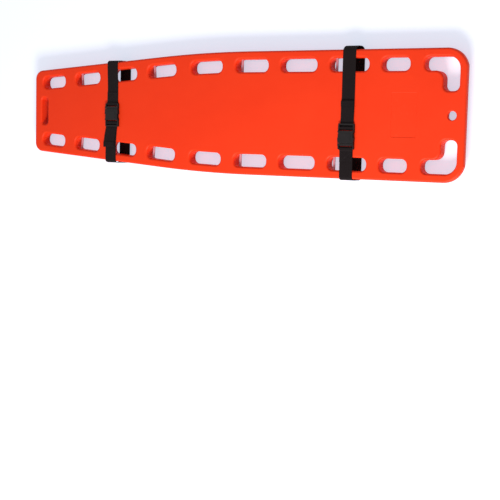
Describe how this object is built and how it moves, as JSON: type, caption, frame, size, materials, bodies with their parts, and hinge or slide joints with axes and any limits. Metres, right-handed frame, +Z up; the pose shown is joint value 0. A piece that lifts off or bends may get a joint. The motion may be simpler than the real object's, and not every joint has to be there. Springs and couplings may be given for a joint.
{
  "type": "spine board",
  "caption": "Long moulded rescue board with hand holes round its edge, strap pins, runners, and webbing straps closed by side release buckles.",
  "frame": {"origin": "centre of the board's footprint, on the surface that its runners rest on", "axes": "+X along the board towards the head end, +Y across it towards the left rail, +Z up"},
  "size_m": [1.831, 0.4686, 0.0761],
  "materials": {
    "shell": "moulded, satin",
    "foam": "rigid foam",
    "pins": "smooth",
    "plug": "satin",
    "webbing": "woven",
    "buckle": "moulded, satin"
  },
  "bodies": {
    "board": {"board_shell": "shell", "foam_core": "foam", "filler_plug": "plug", "strap_pin_left_1": "pins", "strap_pin_left_2": "pins", "strap_pin_left_3": "pins", "strap_pin_left_4": "pins", "strap_pin_right_1": "pins", "strap_pin_right_2": "pins", "strap_pin_right_3": "pins", "strap_pin_right_4": "pins", "chest_strap_webbing": "webbing", "chest_strap_sewn_end": "webbing", "chest_buckle_female": "buckle", "leg_strap_webbing": "webbing", "leg_strap_sewn_end": "webbing", "leg_buckle_female": "buckle"},
    "chest_male": {"chest_buckle_male": "buckle"},
    "chest_arm_a": {"chest_latch_arm_a": "buckle"},
    "chest_arm_b": {"chest_latch_arm_b": "buckle"},
    "leg_male": {"leg_buckle_male": "buckle"},
    "leg_arm_a": {"leg_latch_arm_a": "buckle"},
    "leg_arm_b": {"leg_latch_arm_b": "buckle"}
  },
  "joints": [
    {"name": "chest_buckle_release", "type": "slide", "parent": "board", "child": "chest_male", "axis": [0, -1, 0], "range_m": [0, 0.045], "deforming": ["chest_strap_sewn_end", "chest_latch_arm_a", "chest_latch_arm_b"]},
    {"name": "chest_latch_a_squeeze", "type": "hinge", "parent": "chest_male", "child": "chest_arm_a", "pos_m": [0.5105, -0.102, 0.0688], "axis": [0, 0, 1], "range_deg": [0, 8], "stiffness_Nm_per_rad": 1.5},
    {"name": "chest_latch_b_squeeze", "type": "hinge", "parent": "chest_male", "child": "chest_arm_b", "pos_m": [0.4665, -0.102, 0.0688], "axis": [0, 0, -1], "range_deg": [0, 8], "stiffness_Nm_per_rad": 1.5},
    {"name": "leg_buckle_release", "type": "slide", "parent": "board", "child": "leg_male", "axis": [0, 1, 0], "range_m": [0, 0.045], "deforming": ["leg_strap_sewn_end", "leg_latch_arm_a", "leg_latch_arm_b"]},
    {"name": "leg_latch_a_squeeze", "type": "hinge", "parent": "leg_male", "child": "leg_arm_a", "pos_m": [-0.5435, 0.012, 0.0688], "axis": [0, 0, 1], "range_deg": [0, 8], "stiffness_Nm_per_rad": 1.5},
    {"name": "leg_latch_b_squeeze", "type": "hinge", "parent": "leg_male", "child": "leg_arm_b", "pos_m": [-0.4995, 0.012, 0.0688], "axis": [0, 0, -1], "range_deg": [0, 8], "stiffness_Nm_per_rad": 1.5}
  ]
}
